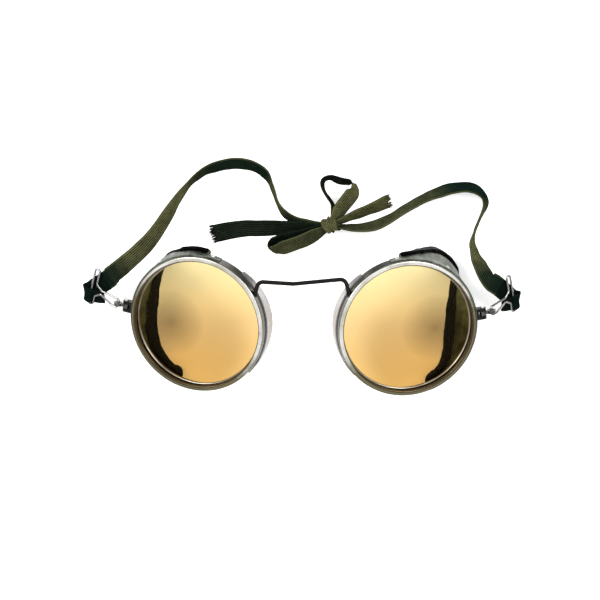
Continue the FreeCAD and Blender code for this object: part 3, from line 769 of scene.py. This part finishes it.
def bow_parts(cloth):
    """The tails and loops on each side: the tail, the loop, then the tail's loose threads."""
    face, back = cloth
    tail_left = rolled_sections(spline_line(TAIL_LEFT), TAIL_LEFT_KEYS)
    tail_right = rolled_sections(spline_line(TAIL_RIGHT), TAIL_RIGHT_KEYS)
    loop_left = rolled_sections(spline_line(LOOP_LEFT), LOOP_LEFT_KEYS, LOOP_LEFT_DYE_AND_SHADE)
    loop_right = rolled_sections(spline_line(LOOP_RIGHT), LOOP_RIGHT_KEYS)
    return {
        "left": [
            tape_piece("tape_end_left", tail_left, cloth, seed=5.0),
            tape_piece("bow_closed_loop", loop_left, cloth, seed=7.0),
            fibres("frayed_left", tail_left, back, 110, 2.2, 11),
        ],
        "right": [
            tape_piece("tape_end_right", tail_right, cloth, seed=6.0),
            tape_piece("bow_open_loop", loop_right, cloth, seed=8.0),
            fibres("frayed_right", tail_right, face, 90, 2.0, 12),
        ],
    }


def knot_band(name, axis, size, width, cloth, seed):
    """One turn of tape round the knot, about the given axis."""
    axis = -axis.normalized()
    one = axis.cross(Vector((0, 0, 1))).normalized()
    two = one.cross(axis)
    steps = 40
    line = []
    for i in range(steps + 1):
        a = 2 * math.pi * i / steps
        turned = one * (size[0] * math.cos(a)) + two * (size[1] * math.sin(a))
        line.append(KNOT_SPOT + turned + axis * (0.7 * math.sin(a + seed)))
    total = lengths(line)
    sections = []
    for i, (point, run) in enumerate(zip(line, total)):
        tangent = (line[(i + 1) % steps] - line[(i - 1) % steps]).normalized()
        pinch = 1 - 0.18 * math.cos(4 * math.pi * i / steps + seed)
        sections.append(Section(point, tangent, -axis, width * pinch, run))
    return tape_piece(name, sections, cloth, 0.7, -0.7, seed)


def tie_knot(cloth):
    return [
        knot_band("knot_wrap", Vector((1.0, 0.30, 0.0)), (2.6, 2.45), 5.0, cloth, 0.6),
        knot_band("knot_cross", Vector((0.75, 0.9, 0.15)), (2.5, 2.3), 4.0, cloth, 2.1),
    ]


# ------------------------------------------------------------------ the leather

# Each shield's free edge: clock angle, radius and depth in its cup's frame.
SHIELD_EDGE = {
    "left": [
        (-11, 26.2, 9.3), (1, 25.4, 12.3), (14, 25.0, 16.0), (28, 26.2, 20.4), (41, 27.2, 23.6),
        (54, 26.2, 22.2), (66, 24.8, 20.2), (82, 23.5, 17.8), (101, 23.9, 15.1), (122, 25.6, 12.9),
        (137, 26.2, 12.0), (146, 26.25, 11.0), (155, 26.4, 8.9),
    ],
    "right": [
        (-9, 26.3, 9.0), (2, 25.9, 12.6), (14, 26.8, 17.0), (27, 28.3, 22.2), (40, 28.6, 24.6),
        (52, 27.2, 22.6), (64, 23.8, 20.9), (80, 20.9, 18.8), (96, 20.2, 16.9), (110, 20.9, 15.3),
        (124, 23.2, 13.5), (137, 25.4, 12.1), (146, 26.0, 11.0), (155, 26.4, 8.9),
    ],
}


def between(rows, t):
    """Catmull-Rom through rows of numbers; t counts rows."""
    i = min(int(t), len(rows) - 2)
    f = t - i
    p = [rows[max(i - 1, 0)], rows[i], rows[i + 1], rows[min(i + 2, len(rows) - 1)]]
    found = []
    for a, b, c, d in zip(*p):
        square, cube = 2 * a - 5 * b + 4 * c - d, 3 * b - a - 3 * c + d
        found.append(0.5 * (2 * b + (c - a) * f + square * f * f + cube * f ** 3))
    return found


def rounded(value, power):
    """A sine or cosine made squarer (a power below 1) with its sign kept."""
    return math.copysign(abs(value) ** power, value)


# How much farther the leather reaches down the sheet: at the brow, up to a clock angle, and
# then from the temple to the cheek.
FLAP = {"left": 1.7, "right": 1.4}
FLAP_END = {"left": 36, "right": 70}
FLAP_LOW = {"left": 1.1, "right": 0.4}

# The folded leather's half height along the sheet and half thickness across it, and the share
# by which it is thicker where it curls up at its cheek end.
FOLD_REACH, FOLD_HALF = 2.1, 1.08
CURL = {"left": 0.75, "right": 0.35}


def flap_cover(name, clock):
    """The share by which the leather is widened at a clock angle."""
    brow = FLAP[name] * max(0.0, min(1.0, (FLAP_END[name] - clock) / 22))
    low = FLAP_LOW[name] * max(0.0, min(1.0, (clock - 40) / 20, (138 - clock) / 16))
    return max(brow, low)


def leather_binding(name, hide):
    """Leather folded over the shield's edge: a soft U with a thicker rolled fold and small creases."""
    side, place = SIDES[name], cup_matrix(SIDES[name])
    rows, around, steps = SHIELD_EDGE[name], 18, 10
    count = (len(rows) - 1) * steps
    points, faces = [], []
    for j in range(count + 1):
        clock, radius, depth = between(rows, j / steps)
        wall = Vector((radius - RIM_RADIUS, depth - SLEEVE_DEPTH)).normalized()
        flank = Vector((wall.y, -wall.x))
        middle = Vector((radius, depth)) - wall * 0.75
        cover = flap_cover(name, clock)
        end = min(j, count - j) / 5.0
        curl = CURL[name] * max(0.0, 1 - abs(count - j - 7) / 7.0)
        swell = math.sqrt(min(1.0, 0.25 + end)) if end < 1 else 1.0
        for i in range(around):
            a = 2 * math.pi * i / around
            cosine, sine = math.cos(a), math.sin(a)
            along = FOLD_REACH * rounded(cosine, 0.8)
            bulge = 0.0
            if along < 0:
                along *= 1 + cover
                bulge = cover * abs(along) / 5.0
            over = FOLD_HALF * rounded(sine, 0.8 - 0.4 * min(cover, 1.0))
            crease = noise.noise(Vector((clock * 0.22, cosine, sine))) * 0.16
            fine = noise.noise(Vector((clock * 0.9, 2 * cosine, 2 * sine))) * 0.07
            swollen = (1 + crease + fine + curl) * swell
            spot = middle + wall * (along * swollen) + flank * (over * swollen + bulge)
            world = place @ clock_point(side, clock, spot.x, spot.y)
            points.append(above(world, LEATHER_CLEAR))
    for j in range(count):
        for i in range(around):
            k = (i + 1) % around
            faces.append((j * around + i, j * around + k, (j + 1) * around + k, (j + 1) * around + i))
    for start in (0, count * around):
        faces.append(tuple(range(start, start + around)))
    piece = mesh_piece("leather_edge_" + name, points, faces, [hide])
    return piece


# ------------------------------------------------------------------ put it together

make_camera()
cloth = [
    tape_cloth("tape_face", (0.215, 0.208, 0.098), (0.072, 0.074, 0.032), (0.007, 0.008, 0.004)),
    tape_cloth("tape_back", (0.030, 0.040, 0.027), (0.008, 0.012, 0.008), (0.002, 0.003, 0.002),
               (0.006, 0.012, 0.009)),
]
tapes = {name: head_tape(name, cloth) for name in SIDES}
extras = bow_parts(cloth)
knot = tie_knot(cloth)
for name in SIDES:
    pieces, fold, neck, run = tapes[name]
    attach(pieces["fold"], "loop_" + name)
    for piece in extras[name]:
        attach(piece, "frame")
    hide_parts("tape_fold_" + name)
    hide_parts("tape_run_" + name)
    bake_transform(pieces["neck"])
    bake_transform(pieces["run"])
for piece in knot:
    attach(piece, "frame")
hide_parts("tape_tail_left")
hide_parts("bow_loop_left")
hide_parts("tape_tail_right")
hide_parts("bow_loop_right")
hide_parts("bow_knot")
for name in SIDES:
    pieces, fold, neck, run = tapes[name]

hide = leather("binding_leather")
nickel = worn_metal("nickel", (0.74, 0.73, 0.70), (0.45, 0.43, 0.38), 0.25).material
bright = worn_metal("bright_wire", (0.36, 0.36, 0.36), (0.13, 0.13, 0.125), 0.2, 0.1).material
ring = worn_metal("snap_wire", (0.42, 0.40, 0.33), (0.20, 0.18, 0.13), 0.28, 0.1).material
wear_and_painted_light = worn_metal("worn_steel", (0.15, 0.15, 0.145), (0.03, 0.03, 0.028), 0.24, 0.1).material
steel = worn_metal("dark_steel", (0.022, 0.024, 0.024), (0.008, 0.008, 0.008), 0.3).material
nose_plate = worn_metal("nose_plate", (0.44, 0.43, 0.44), (0.24, 0.23, 0.235), 0.38).material
looks = {"bridge_wire": black_wire()}
for name, side in SIDES.items():
    edge = leather_binding(name, hide)
    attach(edge, "frame")
    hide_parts("shield_binding_" + name)
    looks["rim_" + name] = rim_metal("rim_nickel_" + name, side)
    looks["side_shield_" + name] = shield_metal(side)
    looks["lens_" + name] = amber_lens(side)
    looks["snap_ring_" + name] = ring
    looks["shield_rivets_" + name] = nickel
    looks["nose_shield_" + name] = nose_plate
    looks["endpiece_" + name] = steel
    looks["hinge_screw_" + name] = nickel
    looks["eye_link_" + name] = wear_and_painted_light
    looks["wire_loop_" + name] = bright
for label, material in looks.items():
    data = nodes[label].data
    data.materials.clear()
    data.materials.append(material)

make_stage()
